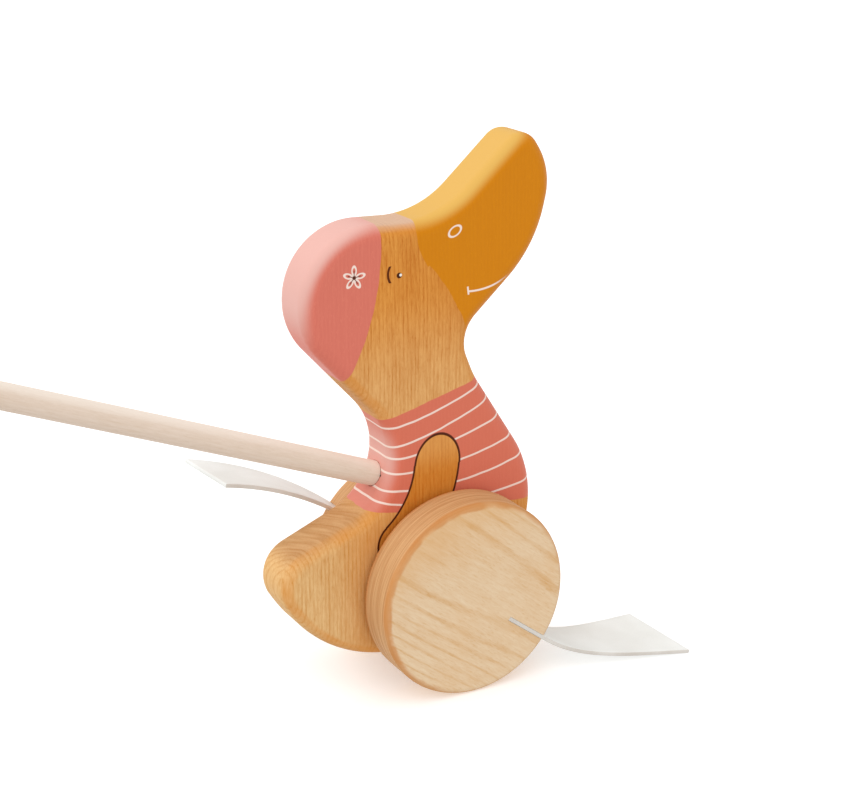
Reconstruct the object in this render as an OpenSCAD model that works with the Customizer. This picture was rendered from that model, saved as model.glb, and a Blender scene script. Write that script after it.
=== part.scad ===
// Wooden duck push-along toy. Two slotted disc wheels turn with one axle, each carries a
// flexible flat foot, and a stick with a ball end pushes the duck from behind.
// +X is forward (the beak), +Y is the duck's left, +Z is up, and the floor is z = 0.
// The origin is the middle of the footprint, on the floor.

/* [Board] */
// Thickness of the duck's board
board_t = 24; // [18:1:28]
// Radius rounded onto all of the board's edges
edge_r = 6; // [3:0.5:7]

/* [Wheels] */
// Diameter of a wheel
wheel_d = 80; // [70:1:100]
// Thickness of a wheel
wheel_t = 19; // [15:0.5:25]
// Radius on a wheel's edges
wheel_edge_r = 2.5; // [1:0.5:4]
// Gap between the board and a wheel
wheel_gap = 2.25; // [1.5:0.25:4]

/* [Axle] */
// Diameter of the axle
axle_d = 8; // [6:1:10]
// Radial play of the axle in the board
axle_play = 0.08; // [0.02:0.01:0.1]
// Depth of the axle's seat in each wheel
axle_seat = 12; // [8:1:14]
// Diameter of the washer beside each wheel
washer_d = 18; // [14:1:24]
// Thickness of a washer
washer_t = 1.8; // [1:0.1:2]

/* [Feet] */
// Thickness of a foot
foot_t = 1.7; // [1:0.1:2.5]
// How far the right foot's slot points below the horizontal, forwards
foot_angle = 37; // [20:1:60]
// Depth of a foot's slot, from the rim
slot_depth = 21; // [12:1:24]
// Free length of a foot's inner edge
inner_len = 56; // [40:1:70]
// Free length of the right foot's outer edge
right_outer_len = 64; // [40:1:80]
// Free length of the left foot's outer edge
left_outer_len = 60; // [40:1:80]
// Sideways spread of the outer edge, per millimetre of its length
flare = 0.215; // [0:0.005:0.3]
// Curl of the right foot's inner edge, in degrees
right_inner_curl = 36; // [0:1:60]
// Curl of the right foot's outer edge, in degrees
right_outer_curl = 32; // [0:1:60]
// Curl of the left foot's inner edge, in degrees
left_inner_curl = 26; // [0:1:60]
// Curl of the left foot's outer edge, in degrees
left_outer_curl = 28; // [0:1:60]

/* [Stick] */
// Diameter of the stick
stick_d = 10; // [8:1:12]
// Length of the stick
stick_len = 500; // [300:10:600]
// Rise of the stick above the horizontal, backwards
stick_rise = 21; // [10:1:35]
// Depth of the stick's socket along its axis, measured from the back of the duck
stick_socket = 22; // [12:1:30]
// Diameter of the ball on the stick's end
ball_d = 35; // [32:1:45]
// Depth of the stick's seat in the ball
ball_seat = 20; // [10:1:25]

/* [Hidden] */

glue = 0.04;          // room for glue around a seated dowel
slot_play = 0.05;     // room on each side of a foot in its slot
hinge_gap = 0.15;     // room for the blade's end to turn between the hinge and the rim
blade_start = 0.3;    // start of the bending blade, out from the hinge
right_curl_power = 3; // above 1, a foot curls most near its root
left_curl_power = 1;
foot_steps = 12;      // spans along a foot's blade
arc_step = 7;         // largest turn between two points of the board's outline
edge_steps = 4;       // flats across a rounded edge
rim_lap = 1;          // how far the rounded rim laps over the board's flat core

wheel_r = wheel_d / 2;
board_h = board_t / 2;
wheel_in = board_h + wheel_gap;
wheel_out = wheel_in + wheel_t;
hinge_r = wheel_r + foot_t / 2 + hinge_gap;     // where a foot bends, out from the axle

// The board's outline, anticlockwise, as circles joined by their common tangents:
// x and z from the axle's centre, then the radius, negative where the outline is hollow.
OUTLINE = [
    [-19.5, 30.5, 58],     // belly and underside of the tail
    [-7.5, 29, 46.5],      // chest
    [48.5, 102, -40],      // front of the neck
    [22.5, 97, -14],       // throat
    [-7.5, 159.5, 52.5],   // underside of the beak
    [18.5, 156.5, 26.5],   // front of the beak
    [32.5, 168, 8.5],      // tip of the beak
    [-18.5, 188, -40.5],   // brow
    [-32.5, 119, 29],      // back of the head
    [-53, 57.5, -27.5],    // nape and back
    [-58, 10, 14.5]        // tip of the tail
];

// Angle of the outward normal on the straight line from circle a to circle b
function tangent(a, b) =
    let (d = [b[0] - a[0], b[1] - a[1]])
    atan2(d[1], d[0]) - acos((a[2] - b[2]) / norm(d));
function turn(from, to) = (to - from) - 360 * floor((to - from) / 360);
function outline_arc(i) =
    let (n = len(OUTLINE),
         c = OUTLINE[i],
         from = tangent(OUTLINE[(i + n - 1) % n], c),
         to = tangent(c, OUTLINE[(i + 1) % n]),
         sweep = c[2] > 0 ? turn(from, to) : -turn(to, from),
         steps = ceil(abs(sweep) / arc_step))
    [for (k = [0 : steps]) [c, from + sweep * k / steps]];
OUTLINE_NORMALS = [for (i = [0 : len(OUTLINE) - 1]) each outline_arc(i)];
function ring(y, inset) =
    [for (p = OUTLINE_NORMALS)
        let (r = p[0][2] - inset)
        [p[0][0] + r * cos(p[1]), y, p[0][1] + r * sin(p[1])]];

// A foot's edge: its path in x and z, from the start of its blade.
// side is 1 for the right foot and -1 for the left one.
function side_heading(side) = side > 0 ? -foot_angle : 180 - foot_angle;
function curl_power(side) = side > 0 ? right_curl_power : left_curl_power;
function heading(side, curl, u) =
    side_heading(side) + curl * (1 - pow(1 - u, curl_power(side)));
function step_along(side, curl, len, i) =
    len / foot_steps * [cos(heading(side, curl, (i + 0.5) / foot_steps)),
                        sin(heading(side, curl, (i + 0.5) / foot_steps))];
function edge_path(side, curl, len) =
    let (h = side_heading(side), r = hinge_r + blade_start)
    [for (i = 0, p = r * [cos(h), sin(h)]; i <= foot_steps;
          p = p + step_along(side, curl, len, i), i = i + 1) p];

front_reach = edge_path(1, right_outer_curl, right_outer_len)[foot_steps][0];
stick_at = [-27.5, 47];     // where the stick's axis meets the duck's back, x and z from the axle
stick_out = stick_len - stick_socket;
ball_at = stick_out - ball_seat + ball_d / 2;
rear_reach = -stick_at[0] + ball_at * cos(stick_rise) + ball_d / 2;
axle_x = (rear_reach - front_reach) / 2;
axle_at = [axle_x, 0, wheel_r];

// Places its children on the stick's axis: z runs out backwards along the stick, from the
// point where the axis meets the duck's back.
module on_stick() {
    translate(axle_at + [stick_at[0], 0, stick_at[1]])
        rotate([0, stick_rise - 90, 0]) children();
}

// Places its children on the axle's axis, with z along +Y for side -1 and -Y for side 1.
module on_axle(side) {
    translate(axle_at) rotate([90 * side, 0, 0]) children();
}

// The board's rounded rim, a closed band around the flat core. Across the band, y and the
// inset from the outline go from one flat side around the edge to the other.
module rim() {
    n = len(OUTLINE_NORMALS);
    angles = [for (k = [0 : edge_steps]) 90 * k / edge_steps];
    lap = edge_r + rim_lap;
    across = concat(
        [[-board_h, lap]],
        [for (a = angles) [edge_r * (1 - cos(a)) - board_h, edge_r * (1 - sin(a))]],
        [for (a = angles) [board_h - edge_r * (1 - sin(a)), edge_r * (1 - cos(a))]],
        [[board_h, lap]]);
    points = [for (q = across) each ring(q[0], q[1])];
    m = len(across);
    faces = [for (j = [0 : m - 1]) for (i = [0 : n - 1])
        [j * n + i, j * n + (i + 1) % n,
         (j + 1) % m * n + (i + 1) % n, (j + 1) % m * n + i]];
    polyhedron(points, faces, convexity = 6);
}

module board() {
    core = [for (p = ring(0, edge_r)) [p[0], p[2]]];
    rotate([90, 0, 0]) linear_extrude(board_t, center = true) polygon(core);
    rim();
}

module duck_body() {
    color("#d9a25e") difference() {
        translate(axle_at) board();
        on_axle(1) cylinder(h = board_t + 2, r = axle_d / 2 + axle_play, center = true, $fn = 64);
        on_stick() translate([0, 0, -stick_socket])
            cylinder(h = stick_socket + board_t, d = stick_d + 2 * glue, $fn = 64);
    }
}

module push_stick() {
    color("#ead9bd") on_stick() translate([0, 0, -stick_socket + glue])
        cylinder(h = stick_len - glue, d = stick_d, $fn = 64);
}

module stick_ball() {
    color("#ead9bd") on_stick() difference() {
        translate([0, 0, ball_at]) sphere(d = ball_d, $fn = 96);
        translate([0, 0, ball_at - ball_d])
            cylinder(h = stick_out - ball_at + ball_d, d = stick_d + 2 * glue, $fn = 64);
    }
}

module axle() {
    color("#e0c193") on_axle(1)
        cylinder(h = 2 * (wheel_in + axle_seat - glue), d = axle_d, center = true, $fn = 64);
}

module washer(side) {
    color("#e6cfa4") on_axle(side) translate([0, 0, wheel_in - washer_t]) difference() {
        cylinder(h = washer_t, d = washer_d, $fn = 64);
        translate([0, 0, -1]) cylinder(h = washer_t + 2, d = axle_d + 2 * glue, $fn = 64);
    }
}

module slot(side) {
    rotate([0, -side_heading(side), 0])
        translate([wheel_r - slot_depth, -wheel_out - 1, -foot_t / 2 - slot_play])
            cube([slot_depth + 2, 2 * wheel_out + 2, foot_t + 2 * slot_play]);
}

module wheel(side) {
    color("#e3c08a") difference() {
        on_axle(side) translate([0, 0, wheel_in]) rotate_extrude($fn = 128) {
            square([wheel_r - wheel_edge_r, wheel_t]);
            translate([0, wheel_edge_r]) square([wheel_r, wheel_t - 2 * wheel_edge_r]);
            for (z = [wheel_edge_r, wheel_t - wheel_edge_r])
                translate([wheel_r - wheel_edge_r, z]) circle(r = wheel_edge_r, $fn = 48);
        }
        on_axle(side) translate([0, 0, wheel_in - 1])
            cylinder(h = axle_seat + 1, d = axle_d + 2 * glue, $fn = 64);
        translate(axle_at) slot(side);
    }
}

module foot_root(side) {
    y = side > 0 ? -wheel_out : wheel_in;
    color("#f2efe9") translate(axle_at) rotate([0, -side_heading(side), 0])
        translate([wheel_r - slot_depth + slot_play, y, -foot_t / 2])
            cube([slot_depth - slot_play, wheel_t, foot_t]);
}

module foot_blade(side, inner_curl, outer_curl, outer_len) {
    inner = edge_path(side, inner_curl, inner_len);
    outer = edge_path(side, outer_curl, outer_len);
    points = [for (i = [0 : foot_steps])
        let (u = i / foot_steps,
             a = heading(side, inner_curl, u),
             b = heading(side, outer_curl, u),
             half_a = foot_t / 2 * [-sin(a), cos(a)],
             half_b = foot_t / 2 * [-sin(b), cos(b)],
             yi = -side * wheel_in,
             yo = -side * (wheel_out + flare * outer_len * u))
        each [[inner[i][0] - half_a[0], yi, inner[i][1] - half_a[1]],
              [outer[i][0] - half_b[0], yo, outer[i][1] - half_b[1]],
              [outer[i][0] + half_b[0], yo, outer[i][1] + half_b[1]],
              [inner[i][0] + half_a[0], yi, inner[i][1] + half_a[1]]]];
    walls = [for (i = [0 : foot_steps - 1]) for (k = [0 : 3])
        let (a = 4 * i + k, b = 4 * i + (k + 1) % 4)
        each [[a, b, b + 4], [a, b + 4, a + 4]]];
    e = 4 * foot_steps;
    ends = [[3, 2, 1], [3, 1, 0], [e, e + 1, e + 2], [e, e + 2, e + 3]];
    faces = concat(walls, ends);
    color("#f2efe9") translate(axle_at)
        polyhedron(points, side > 0 ? faces : [for (f = faces) [f[2], f[1], f[0]]]);
}

duck_body();
push_stick();
stick_ball();
axle();
washer(1);  // washer_right
washer(-1);  // washer_left
wheel(1);  // wheel_right
wheel(-1);  // wheel_left
foot_root(1);  // foot_root_right
foot_root(-1);  // foot_root_left
foot_blade(1, right_inner_curl, right_outer_curl, right_outer_len);  // foot_blade_right
foot_blade(-1, left_inner_curl, left_outer_curl, left_outer_len);  // foot_blade_left
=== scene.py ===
"""Looks for the wooden push-along duck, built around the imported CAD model.

Names in capitals at the top hold sizes and places. Unless a name ends in _M, lengths are in
millimetres, and x, y and z are measured from the middle of the axle.
"""
import math

import bpy
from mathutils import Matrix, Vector


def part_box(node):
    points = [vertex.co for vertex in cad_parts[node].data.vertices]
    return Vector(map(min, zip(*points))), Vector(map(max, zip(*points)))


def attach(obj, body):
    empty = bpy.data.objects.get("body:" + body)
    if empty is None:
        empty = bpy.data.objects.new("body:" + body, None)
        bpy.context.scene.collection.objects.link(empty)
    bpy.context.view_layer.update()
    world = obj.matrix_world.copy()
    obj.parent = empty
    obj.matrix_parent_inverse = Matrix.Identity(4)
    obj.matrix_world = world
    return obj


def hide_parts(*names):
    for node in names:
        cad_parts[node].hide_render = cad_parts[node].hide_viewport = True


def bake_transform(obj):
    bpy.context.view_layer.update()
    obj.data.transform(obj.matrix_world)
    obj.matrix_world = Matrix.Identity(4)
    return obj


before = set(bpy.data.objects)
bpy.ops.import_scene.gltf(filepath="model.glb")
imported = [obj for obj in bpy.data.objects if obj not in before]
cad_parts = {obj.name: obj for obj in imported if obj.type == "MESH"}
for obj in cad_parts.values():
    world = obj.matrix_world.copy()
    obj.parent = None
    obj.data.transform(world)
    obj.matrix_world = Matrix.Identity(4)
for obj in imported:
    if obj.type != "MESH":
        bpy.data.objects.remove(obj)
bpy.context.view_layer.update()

MM = 0.001
TAU = 2 * math.pi

# What the frame says
axle_low, axle_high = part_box("axle")
wheel_low, wheel_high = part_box("wheel_right")
board_low, board_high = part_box("duck_body")
ball_low, ball_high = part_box("stick_ball")
AXLE_M = (axle_low + axle_high) / 2
WHEEL_R = (wheel_high.x - wheel_low.x) / 2 / MM
WHEEL_IN = -wheel_high.y / MM
WHEEL_OUT = -wheel_low.y / MM
BOARD_H = (board_high.y - board_low.y) / 2 / MM

# The board: circles joined by their common tangents, anticlockwise, each as x, z and radius,
# negative where the outline is hollow
EDGE_R = 6
OUTLINE = [
    (-19.5, 30.5, 58),     # belly and underside of the tail
    (-7.5, 29, 46.5),      # chest
    (48.5, 102, -40),      # front of the neck
    (22.5, 97, -14),       # throat
    (-7.5, 159.5, 52.5),   # underside of the beak
    (18.5, 156.5, 26.5),   # front of the beak
    (32.5, 168, 8.5),      # tip of the beak
    (-18.5, 188, -40.5),   # brow
    (-32.5, 119, 29),      # back of the head
    (-53, 57.5, -27.5),    # nape and back
    (-58, 10, 14.5),       # tip of the tail
]
BOARD_PITH = (-150, -40)   # the tree's centre, in x and y
ARC_STEP = math.radians(2.5)
ROUND_STEPS = 9

# The push stick
STICK_RISE = math.radians(21)
STICK_R = 5
STICK_AT = (-27.5, 47)   # a point on its axis, x and z
SHADOW_DOT = (-0.7, -5.3)   # a painted shadow dot next to the stick, across it and in y
BALL_R = (ball_high.y - ball_low.y) / 2 / MM
BALL_M = (ball_low + ball_high) / 2
BALL_LIP = 1.2
LIP_DEPTH = 0.6
SEAT_R = STICK_R - 0.2   # the ball's hole is a little tight on the stick
SEAT_DEPTH = 4
LIP_STEPS = 6
BALL_STEPS = 48

# The feet: each is one sheet from the bottom of its wheel's slot. side is 1 near the camera and
# -1 beyond. A curl is how far a long edge turns in all, in degrees, and sooner with a higher power
FOOT_T = 1.7
FOOT_ANGLE = math.radians(37)
SLOT_DEPTH = 21
HINGE_R = 41
BLADE_START = 0.3
FLARE = 0.215   # how far the outer edge swings out, for each millimetre of its length
INNER_LEN = 56
FEET = {
    "right": {"side": 1, "power": 3, "inner_curl": 36, "outer_curl": 32, "outer_len": 64},
    "left": {"side": -1, "power": 1, "inner_curl": 26, "outer_curl": 28, "outer_len": 60},
}
FOOT_STEPS = 60
ROOT_STEPS = 12
FOOT_ACROSS = 12
FOOT_BEVEL = 0.3

# Half the width over which a painted or burnt edge fades
SOFT_EDGE = 0.12

# Painted areas: x, z and radius of the circles that bound them, and straight or bowed edges
# as z = base + lean * x + bow * x * x. The stripes share one bow
BONNET = (-129, 142, 99.5)
BEAK_TOP = (5.5, 143.5, 20)
BEAK_FRONT = (-77, 71.5, 90.2)
BEAK_LOW = 97   # no beak paint below this
SHIRT_TOP = (79.7, 0.27, 0)
SHIRT_BOTTOM = (31.1, -0.1, 0.001)
STRIPE_BOW = 0.004
STRIPES = [(74.8, 0.36), (66.7, 0.36), (59, 0.24), (50.2, 0.125), (41.7, 0.06), (33.7, -0.05)]
STRIPE_W = 0.85

# The wing: a tongue of constant width along an arc, with round ends. Each end is the x and z
# of its middle, and how much longer than half the width it is
WING_ARC = (-50, 55, 44.3)
WING_R = 9.9
WING_TOP = (-5.7, 50.8, 1.25)
WING_BOTTOM = (-22, 20.5, 1)
BURNT_W = 0.85

# The face
EYE = (-22.1, 128.5)
EYE_R = 1.1
GLINT = (-21.5, 128.6)
GLINT_R = 0.55
BROW_CENTRE = (-20.8, 129.2)
BROW_R = 6
BROW_HALF = math.radians(32)
BROW_W = 0.95
NOSTRIL = (1.7, 142.6)
NOSTRIL_HALF = (2.85, 1.75)
NOSTRIL_TURN = math.radians(30)
SMILE = (10.1, 149.5, 31.1)
SMILE_START_X = 7.6
SMILE_FADE_X = (19, 27)
SMILE_TICK = ((7.4, 120.4), (7.8, 117.2))
FLOWER = (-40.8, 129.9)
PETALS = (90, 10, -60, -130, 160)
PETAL_OUT = 2.65
PETAL_HALF = (1.6, 0.85)
PETAL_W = 0.75
GROOVE_SHADE = (0.8, 2.8)   # from the flower's middle to each end of the painted shade line in a petal
GROOVE_SHADE_W = 0.35
FLOWER_R = 0.75
MARK_W = 0.75
MARK_REACH = 7        # the marks keep off the board's edges, where y is nearer the middle than this

# The floor and the camera
FLOOR_HALF_M = 40
CAMERA_M = AXLE_M + Vector((-327.4, -584.0, 297.6)) * MM
CAMERA_AZIMUTH = math.radians(-29.1)
CAMERA_ELEVATION = math.radians(18.64)
CAMERA_LENS = 75.35


def place(x, y, z):
    """A point given from the axle in millimetres, in the row frame in metres."""
    return AXLE_M + Vector((x, y, z)) * MM


# ---------------------------------------------------------------- meshes


def mesh_object(name, points, faces, normals=None):
    mesh = bpy.data.meshes.new(name)
    mesh.from_pydata(points, [], faces)
    mesh.polygons.foreach_set("use_smooth", [True] * len(mesh.polygons))
    if normals:
        mesh.normals_split_custom_set_from_vertices(normals)
    mesh.update()
    obj = bpy.data.objects.new(name, mesh)
    bpy.context.scene.collection.objects.link(obj)
    return obj


def tangent(a, b):
    """Angle of the outward normal on the straight line from circle a to circle b."""
    dx, dz = b[0] - a[0], b[1] - a[1]
    return math.atan2(dz, dx) - math.acos((a[2] - b[2]) / math.hypot(dx, dz))


def outline_normals():
    """The board's outline, as pairs of a circle and the angle of the outward normal."""
    pairs = []
    for i, circle in enumerate(OUTLINE):
        start = tangent(OUTLINE[i - 1], circle)
        end = tangent(circle, OUTLINE[(i + 1) % len(OUTLINE)])
        sweep = (end - start) % TAU if circle[2] > 0 else -((start - end) % TAU)
        steps = math.ceil(abs(sweep) / ARC_STEP)
        pairs += [(circle, start + sweep * k / steps) for k in range(steps + 1)]
    return pairs


def duck_board():
    """The board with a smooth quarter round on each edge, and exact normals."""
    outline = outline_normals()
    turns = [math.pi / 2 * k / ROUND_STEPS for k in range(ROUND_STEPS + 1)]
    near = [(-1, a) for a in turns]
    far = [(1, a) for a in reversed(turns)]
    points, normals = [], []
    for side, a in near + far:
        y = side * (BOARD_H - EDGE_R * (1 - math.cos(a)))
        inset = EDGE_R * (1 - math.sin(a))
        for (cx, cz, r), angle in outline:
            c, s = math.cos(angle), math.sin(angle)
            points.append(place(cx + (r - inset) * c, y, cz + (r - inset) * s))
            normals.append((math.sin(a) * c, side * math.cos(a), math.sin(a) * s))
    n, rings = len(outline), len(near + far)
    faces = [
        (j * n + i, (j + 1) * n + i, (j + 1) * n + (i + 1) % n, j * n + (i + 1) % n)
        for j in range(rings - 1)
        for i in range(n)
    ]
    faces.append(tuple(range(n)))
    faces.append(tuple(reversed(range((rings - 1) * n, rings * n))))
    return mesh_object("duck_board", points, faces, normals)


def lathe(name, profile, origin, direction, sides=96):
    """Turns a profile of (radius, distance along) pairs about an axis. A radius of 0 closes it."""
    turn = direction.to_track_quat("Z", "Y")
    points, faces, rows = [], [], []
    for r, along in profile:
        count = 1 if r == 0 else sides
        rows.append(range(len(points), len(points) + count))
        for k in range(count):
            a = TAU * k / sides
            offset = Vector((r * math.cos(a), r * math.sin(a), along)) * MM
            points.append(origin + turn @ offset)
    for low, high in zip(rows, rows[1:]):
        for k in range(sides):
            quad = [low[k % len(low)], low[(k + 1) % len(low)],
                    high[(k + 1) % len(high)], high[k % len(high)]]
            faces.append(tuple(dict.fromkeys(quad)))
    return mesh_object(name, points, faces)


def knob():
    """The ball on the stick's end, with a small round lip where the stick enters it."""
    direction = Vector((-math.cos(STICK_RISE), 0, math.sin(STICK_RISE)))
    lip = STICK_R + BALL_LIP
    start = math.asin(lip / BALL_R)
    mouth = -BALL_R * math.cos(start)
    profile = [(0, mouth + SEAT_DEPTH), (SEAT_R, mouth + SEAT_DEPTH)]
    for k in range(LIP_STEPS + 1):
        a = math.pi / 2 * k / LIP_STEPS
        r = STICK_R + BALL_LIP * (1 - math.cos(a))
        profile.append((r, mouth + LIP_DEPTH * (1 - math.sin(a))))
    for k in range(1, BALL_STEPS):
        a = start + (math.pi - start) * k / BALL_STEPS
        profile.append((BALL_R * math.sin(a), -BALL_R * math.cos(a)))
    profile.append((0, BALL_R))
    return lathe("knob", profile, BALL_M, direction)


def slot_angle(foot):
    """Direction from the axle to the mouth of a foot's slot. One wheel is half a turn on."""
    return -FOOT_ANGLE if foot["side"] > 0 else math.pi - FOOT_ANGLE


def foot_station(foot, u):
    """Inner and outer edge of a foot's sheet at u: from -1, the bottom of the slot, through 0,
    the start of the blade, to 1, its end. Each is (x, z, heading), with the outer y last."""
    base = slot_angle(foot)
    blade_r = HINGE_R + BLADE_START
    root_r = WHEEL_R - SLOT_DEPTH
    edges = []
    for curl, length in ((foot["inner_curl"], INNER_LEN), (foot["outer_curl"], foot["outer_len"])):
        r = blade_r + min(u, 0) * (blade_r - root_r)
        x, z, heading = r * math.cos(base), r * math.sin(base), base
        steps = round(max(u, 0) * FOOT_STEPS)
        for k in range(steps):
            middle = 1 - (k + 0.5) / FOOT_STEPS
            heading = base + math.radians(curl) * (1 - middle ** foot["power"])
            x += length / FOOT_STEPS * math.cos(heading)
            z += length / FOOT_STEPS * math.sin(heading)
        heading = base + math.radians(curl) * (1 - (1 - max(u, 0)) ** foot["power"])
        edges.append((x, z, heading))
    return edges, WHEEL_OUT + FLARE * foot["outer_len"] * max(u, 0)


def foot_sheet(name, foot):
    """One foot as one sheet, from the bottom of its slot to its free end."""
    side = foot["side"]
    stations = [-1 + k / ROOT_STEPS for k in range(ROOT_STEPS)]
    stations += [k / FOOT_STEPS for k in range(FOOT_STEPS + 1)]
    points = []
    for u in stations:
        (inner, outer), outer_y = foot_station(foot, u)
        for face in (1, -1):
            for j in range(FOOT_ACROSS + 1):
                t = j / FOOT_ACROSS
                x, z, heading = (p + (q - p) * t for p, q in zip(inner, outer))
                y = -side * (WHEEL_IN + (outer_y - WHEEL_IN) * t)
                lift = face * FOOT_T / 2
                points.append(place(x - lift * math.sin(heading), y, z + lift * math.cos(heading)))
    row, half, last = 2 * (FOOT_ACROSS + 1), FOOT_ACROSS + 1, len(stations) - 1
    faces = []
    for i in range(last):
        a, b = i * row, (i + 1) * row
        for j in range(FOOT_ACROSS):
            faces.append((a + j, a + j + 1, b + j + 1, b + j))
            faces.append((a + half + j + 1, a + half + j, b + half + j, b + half + j + 1))
        faces.append((a, b, b + half, a + half))
        faces.append((b + FOOT_ACROSS, a + FOOT_ACROSS, a + half + FOOT_ACROSS, b + half + FOOT_ACROSS))
    for j in range(FOOT_ACROSS):
        faces.append((j + 1, j, half + j, half + j + 1))
        e = last * row
        faces.append((e + j, e + j + 1, e + half + j + 1, e + half + j))
    if side < 0:
        faces = [tuple(reversed(f)) for f in faces]
    obj = mesh_object(name, points, faces)
    bevel = obj.modifiers.new("edge", "BEVEL")
    bevel.width = FOOT_BEVEL * MM
    bevel.segments = 2
    bevel.limit_method = "ANGLE"
    bevel.angle_limit = math.radians(50)
    bevel.material = 1
    evaluated = obj.evaluated_get(bpy.context.evaluated_depsgraph_get())
    obj.data = bpy.data.meshes.new_from_object(evaluated)
    obj.modifiers.clear()
    return obj


# ---------------------------------------------------------------- shading


def srgb(*rgb):
    """A colour from 0-255 display values, as the linear values that a shader takes."""
    return tuple(
        c / 255 / 12.92 if c <= 10 else ((c / 255 + 0.055) / 1.055) ** 2.4 for c in rgb
    ) + (1.0,)


class Value:
    """A socket in a material's node tree. Python arithmetic on it adds Math nodes."""

    def __init__(self, paint, socket):
        self.paint = paint
        self.socket = socket

    def math(self, operation, *others):
        return self.paint.math(operation, self, *others)

    def __add__(self, other):
        return self.math("ADD", other)

    def __sub__(self, other):
        return self.math("SUBTRACT", other)

    def __rsub__(self, other):
        return self.paint.math("SUBTRACT", other, self)

    def __mul__(self, other):
        return self.math("MULTIPLY", other)

    def __truediv__(self, other):
        return self.math("DIVIDE", other)

    def __abs__(self):
        return self.math("ABSOLUTE")

    __radd__ = __add__
    __rmul__ = __mul__


class Paint:
    """One material's node tree, and the few kinds of node that the looks are made of."""

    def __init__(self, name):
        self.material = bpy.data.materials.new(name)
        self.material.use_nodes = True
        self.tree = self.material.node_tree
        self.shader = self.tree.nodes["Principled BSDF"]
        self.coordinates = self.tree.nodes.new("ShaderNodeTexCoord")

    def plug(self, value, socket):
        if isinstance(value, Value):
            self.tree.links.new(value.socket, socket)
        else:
            socket.default_value = value

    def math(self, operation, *values):
        node = self.tree.nodes.new("ShaderNodeMath")
        node.operation = operation
        for value, socket in zip(values, node.inputs):
            self.plug(value, socket)
        return Value(self, node.outputs[0])

    def hypot(self, a, b):
        return self.math("SQRT", a * a + b * b)

    def split(self, socket):
        node = self.tree.nodes.new("ShaderNodeSeparateXYZ")
        self.tree.links.new(socket, node.inputs[0])
        return [Value(self, s) for s in node.outputs]

    def position(self):
        """x, y and z from the axle in millimetres, carried along with the piece."""
        x, y, z = self.split(self.coordinates.outputs["Object"])
        return [(v - home) * (1 / MM) for v, home in zip((x, y, z), AXLE_M)]

    def normal(self):
        return self.split(self.coordinates.outputs["Normal"])

    def noise(self, x, y, z, detail=2.0, roughness=0.5):
        """Smooth noise from about -0.5 to 0.5 at the point given, one grain per unit."""
        point = self.tree.nodes.new("ShaderNodeCombineXYZ")
        for value, socket in zip((x, y, z), point.inputs):
            self.plug(value, socket)
        node = self.tree.nodes.new("ShaderNodeTexNoise")
        self.tree.links.new(point.outputs[0], node.inputs["Vector"])
        node.inputs["Scale"].default_value = 1
        node.inputs["Detail"].default_value = detail
        node.inputs["Roughness"].default_value = roughness
        return Value(self, node.outputs[0]) - 0.5

    def rise(self, value, low, high):
        """Smoothly from 0 at low to 1 at high, and level beyond them. low may be above high."""
        node = self.tree.nodes.new("ShaderNodeMapRange")
        node.interpolation_type = "SMOOTHSTEP"
        self.plug(value, node.inputs["Value"])
        node.inputs["From Min"].default_value = low
        node.inputs["From Max"].default_value = high
        return Value(self, node.outputs[0])

    def mix(self, a, b, share):
        """Colour a, with that share of colour b."""
        node = self.tree.nodes.new("ShaderNodeMix")
        node.data_type = "RGBA"
        self.plug(share, node.inputs[0])
        self.plug(a, node.inputs[6])
        self.plug(b, node.inputs[7])
        return Value(self, node.outputs[2])

    def bump(self, height):
        """height is in millimetres."""
        node = self.tree.nodes.new("ShaderNodeBump")
        node.inputs["Strength"].default_value = 1
        node.inputs["Distance"].default_value = MM
        self.plug(height, node.inputs["Height"])
        self.tree.links.new(node.outputs[0], self.shader.inputs["Normal"])

    def set(self, **values):
        for name, value in values.items():
            self.plug(value, self.shader.inputs[name.replace("_", " ").title().replace("Ior", "IOR")])


def grain(
    paint, along, across, depth, pith, ring_w, light, dark,
    sway=1.5, late_start=0.4, lines=0.4, figure=0.6, fine=1.25
):
    """Colour and height of sawn wood. along runs with the grain, across over the board's face
    and depth into it. pith is where the tree's centre lies in across and depth. sway bends the
    rings, late_start narrows their dark part, and lines, figure and fine are the strengths of the
    rings, of broad patches and of single fibres."""
    drift = paint.noise(across * 0.02, depth * 0.02, along * 0.012, 1.0) * (2 * sway)
    drift = drift + paint.noise(across * 0.3, depth * 0.3, along * 0.04, 2.0) * (0.7 * sway)
    ring = paint.hypot(across - pith[0], depth - pith[1]) + drift
    phase = (ring / ring_w).math("FRACT")
    late = paint.rise(phase, late_start, 0.8) - paint.rise(phase, 0.84, 1.0)
    late = late * (paint.noise(ring * (0.6 / ring_w), along * 0.03, 3.0) * 2.4 + 0.6)
    fibre = paint.noise(across * 1.7, depth * 1.7, along * 0.2, 3.0, 0.65)
    fleck = paint.rise(paint.noise(across * 2.6, depth * 2.6, along * 0.5, 1.0), 0.08, 0.24)
    blotch = paint.noise(across * 0.09, depth * 0.09, along * 0.03, 2.0)
    share = late * lines + fibre * fine + blotch * figure + fleck * 0.2 + 0.3
    colour = paint.mix(light, dark, share.math("MAXIMUM", 0.0).math("MINIMUM", 1.0))
    height = fibre * 0.5 - fleck * 0.5 - late * 0.2
    return colour, height


def circle_gap(paint, x, z, circle):
    """Distance outside a circle, negative inside it."""
    return paint.hypot(x - circle[0], z - circle[1]) - circle[2]


def turned(x, z, centre, angle):
    """x and z from a centre, along and across a direction."""
    c, s = math.cos(angle), math.sin(angle)
    dx, dz = x - centre[0], z - centre[1]
    return dx * c + dz * s, dz * c - dx * s


def past(paint, gap):
    """1 where gap is above 0, 0 where it is below, and a brushed edge between them."""
    return paint.rise(gap, -SOFT_EDGE, SOFT_EDGE)


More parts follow.
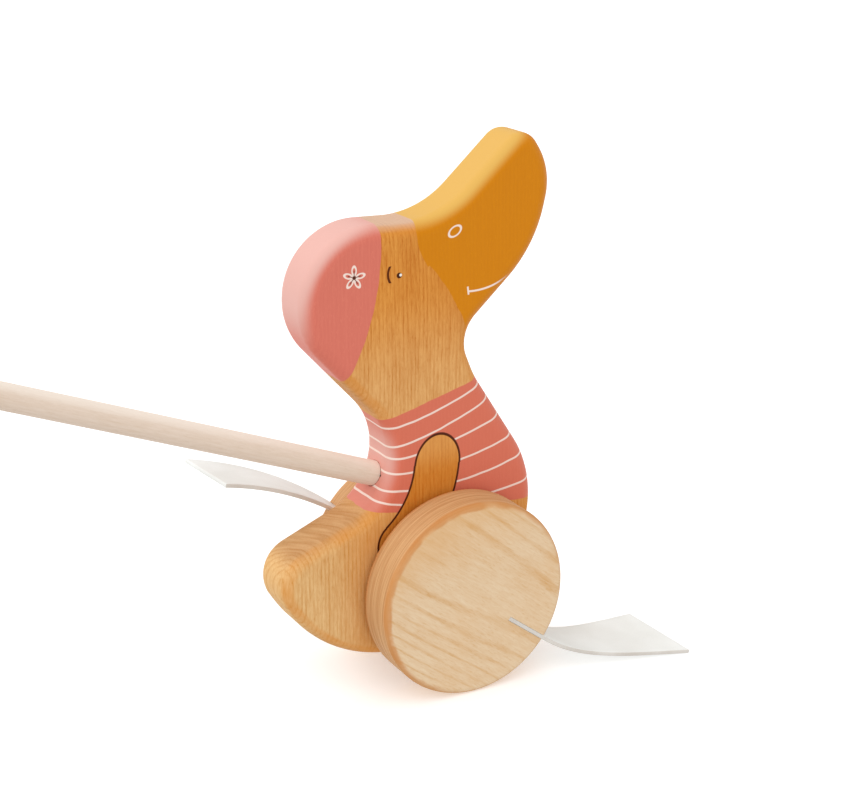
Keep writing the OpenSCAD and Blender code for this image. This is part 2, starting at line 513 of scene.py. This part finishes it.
def dot(paint, x, z, centre, r):
    """1 inside a small painted dot."""
    return 1 - past(paint, circle_gap(paint, x, z, (*centre, r)))


def line(paint, gap, width):
    """1 on a painted line, where gap is the distance from its middle."""
    return 1 - past(paint, abs(gap) - width / 2)


def oval_gap(paint, along, across, half):
    """About how far a point is outside an oval."""
    a, b = half
    size = (a * b) ** 0.5
    return (paint.hypot(along / a, across / b) - 1) * size


def curve_z(x, base, lean, bow):
    """Height of a straight or bowed edge at x."""
    return x * lean + x * x * bow + base


def wing_gap(paint, x, z):
    """Distance outside the wing. Its edge turns from the band along the arc to the round ends on
    lines through the arc's centre."""
    gap = abs(circle_gap(paint, x, z, WING_ARC)) - WING_R
    for end, sign in ((WING_TOP, 1), (WING_BOTTOM, -1)):
        ahead = math.atan2(end[1] - WING_ARC[1], end[0] - WING_ARC[0]) + sign * math.pi / 2
        along, across = turned(x, z, end, ahead)
        cap = paint.hypot(along / end[2], across) - WING_R
        gap = gap + (cap - gap) * past(paint, along)
    return gap


def board_wood(paint, x, y, z, in_wing):
    """Colour and height of the bare board: warm on the head and the wing, painted paler towards the
    tail and low on the neck as painted light, and warmer next to the wheels as painted shade.
    """
    colours = {}
    for tone, light, dark in (
        ("warm", srgb(230, 158, 73), srgb(188, 101, 20)),
        ("pale_painted_light", srgb(238, 199, 142), srgb(205, 144, 74)),
    ):
        colours[tone], height = grain(
            paint, z + x * 0.03, x, y, pith=BOARD_PITH, ring_w=1.6, light=light, dark=dark
        )
    # Painted light: paler towards the tail and low on the neck, nearer the floor
    pale_painted_light = paint.rise(z, 125, 78) * 0.55 + paint.rise(x, -8, -48) * paint.rise(z, 45, 10) * 0.45
    wood = paint.mix(colours["warm"], colours["pale_painted_light"], pale_painted_light * (1 - in_wing))

    # Cut across the grain, its rings are broad bands, and on top of the head it is painted paler and
    # greyer, a painted highlight
    ring = paint.hypot(x - BOARD_PITH[0], y - BOARD_PITH[1])
    bands = paint.noise(ring * 0.7, y * 0.06, z * 0.05, 2.0)
    cut = paint.mix(srgb(170, 118, 74), srgb(198, 154, 112), paint.rise(bands, -0.2, 0.2))
    cut = paint.mix(cut, srgb(216, 200, 186), paint.rise(z, 100, 140) * 0.85)
    cut = paint.mix(wood, cut, 0.65)

    # Painted shade: the wing is darker and warmer low down by the wheel than at its top, and the board
    # is warmer next to the wheels
    wing_painted_shade = paint.mix(srgb(200, 112, 16), srgb(232, 172, 102), paint.rise(z, 46, 60))
    wood = paint.mix(wood, wing_painted_shade, in_wing * 0.4)
    wheel_painted_shade = paint.rise(x, -54, -32) * paint.rise(z, 50, 24) * (1 - in_wing)
    wood = paint.mix(wood, srgb(216, 136, 44), wheel_painted_shade * 0.45)
    _, ny, nz = paint.normal()
    wood = paint.mix(wood, cut, paint.rise(abs(nz), 0.45, 0.95))

    # Oil gathered in spots on the rounded edges
    shoulder = paint.rise(abs(ny), 0.25, 0.6) * paint.rise(abs(ny), 0.999, 0.9)
    spots = paint.rise(paint.noise(x * 0.07, y * 0.12, z * 0.07, 2.0), -0.3, 0.25)
    return paint.mix(wood, srgb(220, 142, 58), shoulder * spots * 0.6), height


def painted_areas(paint, x, y, z):
    """Shares of the bonnet, the beak and the shirt, whose edges waver as a brush does."""
    waver = paint.noise(x * 0.22, y * 0.22, z * 0.22, 1.0) * 0.7
    edge_x, edge_z = x + waver, z + waver
    bonnet = past(paint, circle_gap(paint, edge_x, edge_z, BONNET) * -1)
    above = past(paint, circle_gap(paint, edge_x, edge_z, BEAK_TOP) * -1)
    above = above.math("MAXIMUM", past(paint, x - BEAK_TOP[0]))
    below = past(paint, circle_gap(paint, edge_x, edge_z, BEAK_FRONT)) * past(paint, z - BEAK_LOW)
    ax, az = BEAK_FRONT[0] - BEAK_TOP[0], BEAK_FRONT[1] - BEAK_TOP[1]
    lower = past(paint, (z - BEAK_TOP[1]) * ax - (x - BEAK_TOP[0]) * az)
    beak = above + (below - above) * lower
    under_top = past(paint, curve_z(x, *SHIRT_TOP) - edge_z)
    shirt = under_top * past(paint, edge_z - curve_z(x, *SHIRT_BOTTOM))
    return bonnet, beak, shirt


def shirt_stripes(paint, x, y, z):
    """1 on each white stripe of the shirt, and beyond the shirt where the stripe would go on."""
    waver = paint.noise(x * 0.1, y * 0.1, z * 0.1, 1.0) * 0.8
    return sum(
        line(paint, z + waver - curve_z(x, base, lean, STRIPE_BOW), STRIPE_W)
        for base, lean in STRIPES
    )


def face_marks(paint, x, z, white):
    """The nostril, smile, brow and eye, each a share and a colour."""
    nostril = oval_gap(paint, *turned(x, z, NOSTRIL, NOSTRIL_TURN), NOSTRIL_HALF)
    smile = line(paint, circle_gap(paint, x, z, SMILE), MARK_W)
    smile = smile * past(paint, x - SMILE_START_X) * past(paint, SMILE[1] - z)
    smile = smile * (1 - paint.rise(x, *SMILE_FADE_X))
    (tx, tz), (ux, uz) = SMILE_TICK
    along, across = turned(x, z, (tx, tz), math.atan2(uz - tz, ux - tx))
    tick = line(paint, across, MARK_W)
    tick = tick * past(paint, along) * past(paint, math.hypot(ux - tx, uz - tz) - along)
    brow_along, brow_across = turned(x, z, BROW_CENTRE, math.pi)
    brow = line(paint, circle_gap(paint, x, z, (*BROW_CENTRE, BROW_R)), BROW_W)
    brow = brow * past(paint, BROW_R * math.sin(BROW_HALF) - abs(brow_across))
    brow = brow * past(paint, brow_along)
    return [
        (line(paint, nostril, MARK_W), white),
        (smile, white),
        (tick, white),
        (brow, srgb(92, 42, 14)),
        (dot(paint, x, z, EYE, EYE_R), srgb(70, 30, 10)),
        (dot(paint, x, z, GLINT, GLINT_R), srgb(250, 245, 235)),
    ]


def flower_marks(paint, x, z, white, burnt):
    """The bonnet's flower: white petals, a painted shade line in each, the shade of an engraved line,
    and a dark middle.
    """
    marks = []
    for angle in PETALS:
        along, across = turned(x, z, FLOWER, math.radians(angle))
        petal = oval_gap(paint, along - PETAL_OUT, across, PETAL_HALF)
        marks.append((line(paint, petal, PETAL_W), white))
        # Painted shade along each petal's engraved line
        groove_shade = line(paint, across, GROOVE_SHADE_W) * past(paint, along - GROOVE_SHADE[0])
        marks.append((groove_shade * past(paint, GROOVE_SHADE[1] - along), srgb(112, 52, 44)))
    marks.append((dot(paint, x, z, FLOWER, FLOWER_R), burnt))
    return marks


def stick_hole_shadow(paint, x, y, z, colour):
    """Adds a painted shadow ring round the stick, uneven as its bore is a little large, and a shadow
    dot.
    """
    _, off_axis = turned(x, z, STICK_AT, math.pi - STICK_RISE)
    at_back = paint.rise(x, 0, -5)
    gap = paint.hypot(off_axis, y) + paint.noise(x * 0.3, y * 0.3, z * 0.3, 0.0)
    hole_shadow = (1 - paint.rise(gap, STICK_R + 0.1, STICK_R + 0.4)) * at_back
    colour = paint.mix(colour, srgb(150, 74, 60), hole_shadow)
    shadow_dot = paint.hypot(off_axis - SHADOW_DOT[0], y - SHADOW_DOT[1])
    return paint.mix(colour, srgb(30, 8, 6), (1 - paint.rise(shadow_dot, 0.3, 0.7)) * at_back)


def board_material():
    paint = Paint("duck_board")
    x, y, z = paint.position()
    nx, _, nz = paint.normal()
    on_side = paint.rise(abs(y), MARK_REACH, MARK_REACH + 2)
    wing = wing_gap(paint, x, z)
    in_wing = (1 - past(paint, wing)) * on_side
    wood, height = board_wood(paint, x, y, z, in_wing)
    bonnet, beak, shirt = painted_areas(paint, x, y, z)
    shirt = shirt * (1 - in_wing)
    stripes = shirt_stripes(paint, x, y, z) * shirt

    # The grain shows through the paint. The back and the top edges are painted paler and whiter, a
    # painted highlight where the light falls on them
    through = paint.rise(height, -0.4, 0.4)
    painted_highlight = paint.rise(nz * 0.66 - nx * 0.75, 0.2, 0.8) * (paint.rise(z, 36, 58) * 0.5 + 0.3)
    pink = paint.mix(srgb(222, 123, 104), srgb(213, 112, 95), through)
    pink = paint.mix(pink, srgb(228, 186, 176), painted_highlight)
    shirt_pink = paint.mix(pink, srgb(216, 112, 80), (1 - painted_highlight) * 0.5)
    ochre = paint.mix(srgb(215, 133, 2), srgb(207, 124, 0), through)
    ochre = paint.mix(ochre, srgb(224, 183, 96), painted_highlight)
    white = srgb(246, 226, 214)
    burnt = srgb(82, 34, 12)
    colour = paint.mix(wood, pink, bonnet)
    colour = paint.mix(colour, ochre, beak)
    colour = paint.mix(colour, shirt_pink, shirt)
    colour = paint.mix(colour, white, stripes * 0.9)

    wing_line = line(paint, wing, BURNT_W)
    marks = face_marks(paint, x, z, white) + [(wing_line, burnt)]
    for share, mark_colour in marks + flower_marks(paint, x, z, white, burnt):
        colour = paint.mix(colour, mark_colour, share * on_side)
    # Painted shadow in the gap round the stick, and a painted shadow dot
    colour = stick_hole_shadow(paint, x, y, z, colour)

    coat = (bonnet + beak + shirt).math("MINIMUM", 1.0)
    paint.set(
        base_color=colour,
        roughness=0.62 + height * 0.08,
        specular_ior_level=0.08,
        coat_weight=coat * 0.4,
        coat_roughness=0.36,
        coat_ior=1.28,
    )
    relief = height * (0.06 - coat * 0.035) + coat * 0.03 + stripes * 0.02
    paint.bump(relief - wing_line * on_side * 0.12)
    return paint.material


def wheel_material():
    paint = Paint("wheel_wood")
    x, y, z = paint.position()
    along, across = turned(x, z, (0, 0), -FOOT_ANGLE)
    width = abs(y)
    colour, height = grain(
        paint, along, across, width, pith=(9, -30), ring_w=2.1,
        light=srgb(237, 213, 180), dark=srgb(212, 164, 106), late_start=0.6, lines=0.42, figure=0.3,
        fine=0.85
    )
    # Oil that soaked in unevenly, mostly high up and at the back
    oil = paint.noise(x * 0.05, 0.0, z * 0.05, 1.0) * 0.5 + paint.rise(z - x * 0.4, 8, 40) * 0.5
    colour = paint.mix(colour, srgb(224, 168, 100), oil.math("MAXIMUM", 0.0) * 0.8)
    # The rim, and the band of darker oil on its rounded edges
    r = paint.hypot(x, z)
    lines = paint.noise(width * 1.5, along * 0.03, across * 0.03, 3.0, 0.65)
    rim_wood = paint.mix(srgb(222, 178, 128), srgb(194, 140, 90), paint.rise(lines, -0.2, 0.2))
    colour = paint.mix(colour, rim_wood, paint.rise(r, WHEEL_R - 1.6, WHEEL_R - 0.5))
    outer = paint.rise(width, WHEEL_OUT - 2.8, WHEEL_OUT - 1.4)
    inner = paint.rise(width, WHEEL_IN + 3.6, WHEEL_IN + 1.8)
    patchy = paint.noise(x * 0.11, width * 0.25, z * 0.11, 2.0) * 1.6 + 0.65
    band = paint.rise(r + patchy * 1.4, WHEEL_R - 1.8, WHEEL_R - 0.4) * (outer + inner) * patchy
    band = band * paint.rise((z - x) / r, -1.2, 0.6)
    colour = paint.mix(colour, srgb(204, 136, 74), band.math("MINIMUM", 0.75))
    paint.set(base_color=colour, roughness=0.62 + height * 0.06, specular_ior_level=0.15)
    paint.bump(height * 0.05)
    return paint.material


def stick_material(name, light, dark):
    paint = Paint(name)
    x, y, z = paint.position()
    along, across = turned(x, z, (0, 0), math.pi - STICK_RISE)
    colour, height = grain(
        paint, along, across, y, pith=(30, 22), ring_w=1.8, light=light, dark=dark, sway=1.0,
        lines=0.25, figure=0.3
    )
    # The top is painted paler, a painted highlight from the light above
    _, _, nz = paint.normal()
    colour = paint.mix(colour, srgb(250, 240, 228), paint.rise(nz, 0.2, 0.95) * 0.6)
    paint.set(base_color=colour, roughness=0.6 + height * 0.06, specular_ior_level=0.2)
    paint.bump(height * 0.05)
    return paint.material


def axle_material():
    paint = Paint("axle_wood")
    x, y, z = paint.position()
    colour, height = grain(
        paint, y, x, z, pith=(20, 9), ring_w=1.8, light=srgb(226, 190, 138), dark=srgb(196, 148, 92)
    )
    paint.set(base_color=colour, roughness=0.62, specular_ior_level=0.15)
    paint.bump(height * 0.05)
    return paint.material


def leather_material(name, light, dark, pebble):
    paint = Paint(name)
    x, y, z = paint.position()
    pores = paint.noise(x * 2.4, y * 2.4, z * 2.4, 3.0, 0.65)
    cloud = paint.noise(x * 0.06, y * 0.06, z * 0.06, 2.0)
    share = paint.rise(pores * 0.5 + cloud, -0.35, 0.4)
    paint.set(
        base_color=paint.mix(dark, light, share), roughness=0.5 + pores * 0.15,
        specular_ior_level=0.3
    )
    paint.bump(pores * pebble)
    return paint.material


def floor_material():
    paint = Paint("floor")
    x, y, z = paint.position()
    share = paint.noise(x * 0.004, y * 0.004, z * 0.004) + 0.5
    paint.set(
        base_color=paint.mix(srgb(247, 247, 247), srgb(251, 251, 251), share),
        roughness=0.9, specular_ior_level=0.0,
        emission_color=(1, 1, 1, 1), emission_strength=0.24
    )
    return paint.material


def dress(obj, *materials):
    obj.data.materials.clear()
    for material in materials:
        obj.data.materials.append(material)


# ---------------------------------------------------------------- the object

wheel_wood = wheel_material()
stick_wood = stick_material("stick_wood", srgb(232, 213, 196), srgb(216, 192, 169))
knob_wood = stick_material("knob_wood", srgb(238, 220, 194), srgb(218, 190, 152))
axle_wood = axle_material()
leather = leather_material("leather_face", srgb(244, 245, 242), srgb(232, 232, 227), 0.03)
raw_edge = leather_material("leather_edge", srgb(228, 223, 216), srgb(206, 198, 188), 0.08)

body = duck_board()
dress(body, board_material())
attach(body, "duck")
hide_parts("duck_body")

ball = knob()
dress(ball, knob_wood)
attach(ball, "duck")
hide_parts("stick_ball")

dress(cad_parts["push_stick"], stick_wood)
for node in ("wheel_right", "wheel_left"):
    dress(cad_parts[node], wheel_wood)
for node in ("axle", "washer_right", "washer_left"):
    dress(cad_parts[node], axle_wood)

for name, foot in FEET.items():
    sheet = foot_sheet("foot_" + name, foot)
    dress(sheet, leather, raw_edge)
    # The long cut edges face sideways
    for polygon in sheet.data.polygons:
        if polygon.material_index == 0 and abs(polygon.normal.y) > 0.7:
            polygon.material_index = 1
    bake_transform(sheet)
    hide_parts("foot_root_" + name, "foot_blade_" + name)

# ---------------------------------------------------------------- floor, light and camera


def studio_light(name, direction, spread, strength):
    """A soft, distant light. direction points to it, and spread is its angle in degrees."""
    light = bpy.data.lights.new(name, "SUN")
    light.angle = math.radians(spread)
    light.energy = strength
    obj = bpy.data.objects.new(name, light)
    obj.rotation_mode = "QUATERNION"
    obj.rotation_quaternion = Vector(direction).to_track_quat("Z", "Y")
    bpy.context.scene.collection.objects.link(obj)


floor = mesh_object(
    "floor",
    [(a * FLOOR_HALF_M, b * FLOOR_HALF_M, 0) for a, b in ((-1, -1), (1, -1), (1, 1), (-1, 1))],
    [(0, 1, 2, 3)],
)
dress(floor, floor_material())
# The toy's underside is lit as if the floor weren't there
floor.visible_diffuse = False

studio_light("back", (-0.55, 0.5, 0.67), 60, 0.95)
studio_light("key", (-0.4, -0.6, 0.7), 70, 0.85)

world = bpy.data.worlds.new("studio")
world.use_nodes = True
world.node_tree.nodes["Background"].inputs["Color"].default_value = (1, 1, 1, 1)
world.node_tree.nodes["Background"].inputs["Strength"].default_value = 0.78
bpy.context.scene.world = world
bpy.context.scene.view_settings.view_transform = "Standard"

camera = bpy.data.cameras.new("camera")
camera.lens = CAMERA_LENS
camera.clip_start = 0.01
camera_object = bpy.data.objects.new("camera", camera)
back = Vector((
    math.sin(CAMERA_AZIMUTH) * math.cos(CAMERA_ELEVATION),
    -math.cos(CAMERA_AZIMUTH) * math.cos(CAMERA_ELEVATION),
    math.sin(CAMERA_ELEVATION),
))
camera_object.location = CAMERA_M
camera_object.rotation_mode = "QUATERNION"
camera_object.rotation_quaternion = (-back).to_track_quat("-Z", "Y")
bpy.context.scene.collection.objects.link(camera_object)
bpy.context.scene.camera = camera_object
